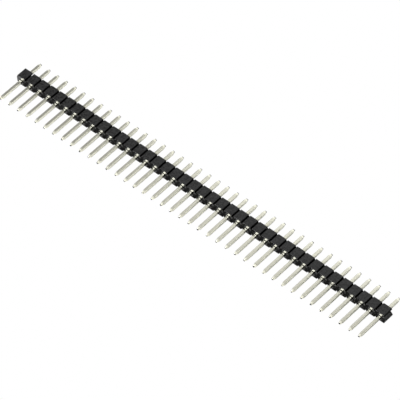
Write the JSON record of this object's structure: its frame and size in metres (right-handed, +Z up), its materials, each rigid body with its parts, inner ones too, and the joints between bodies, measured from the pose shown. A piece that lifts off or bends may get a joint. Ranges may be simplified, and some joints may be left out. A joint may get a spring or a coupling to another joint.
{
  "type": "pin header strip",
  "caption": "Single-row breakaway pin header strip: a notched black housing holding a row of square plated pins, long mating ends on one side and short solder tails on the other.",
  "frame": {"origin": "middle of the housing's seating face, the face that lies against the circuit board, where the pins' centre plane cuts it", "axes": "+X along the row of pins, +Y along the solder tails, -Y along the longer mating ends, +Z up with the strip lying on one of its wide sides"},
  "size_m": [0.1016, 0.0124, 0.0024],
  "materials": {
    "housing_plastic": "moulded, slightly glossy black",
    "pin_metal": "pale silvery plating over brass, bright drawn finish"
  },
  "bodies": {
    "root": {"housing": "housing_plastic", "pin_01": "pin_metal", "pin_02": "pin_metal", "pin_03": "pin_metal", "pin_04": "pin_metal", "pin_05": "pin_metal", "pin_06": "pin_metal", "pin_07": "pin_metal", "pin_08": "pin_metal", "pin_09": "pin_metal", "pin_10": "pin_metal", "pin_11": "pin_metal", "pin_12": "pin_metal", "pin_13": "pin_metal", "pin_14": "pin_metal", "pin_15": "pin_metal", "pin_16": "pin_metal", "pin_17": "pin_metal", "pin_18": "pin_metal", "pin_19": "pin_metal", "pin_20": "pin_metal", "pin_21": "pin_metal", "pin_22": "pin_metal", "pin_23": "pin_metal", "pin_24": "pin_metal", "pin_25": "pin_metal", "pin_26": "pin_metal", "pin_27": "pin_metal", "pin_28": "pin_metal", "pin_29": "pin_metal", "pin_30": "pin_metal", "pin_31": "pin_metal", "pin_32": "pin_metal", "pin_33": "pin_metal", "pin_34": "pin_metal", "pin_35": "pin_metal", "pin_36": "pin_metal", "pin_37": "pin_metal", "pin_38": "pin_metal", "pin_39": "pin_metal", "pin_40": "pin_metal"}
  },
  "joints": []
}
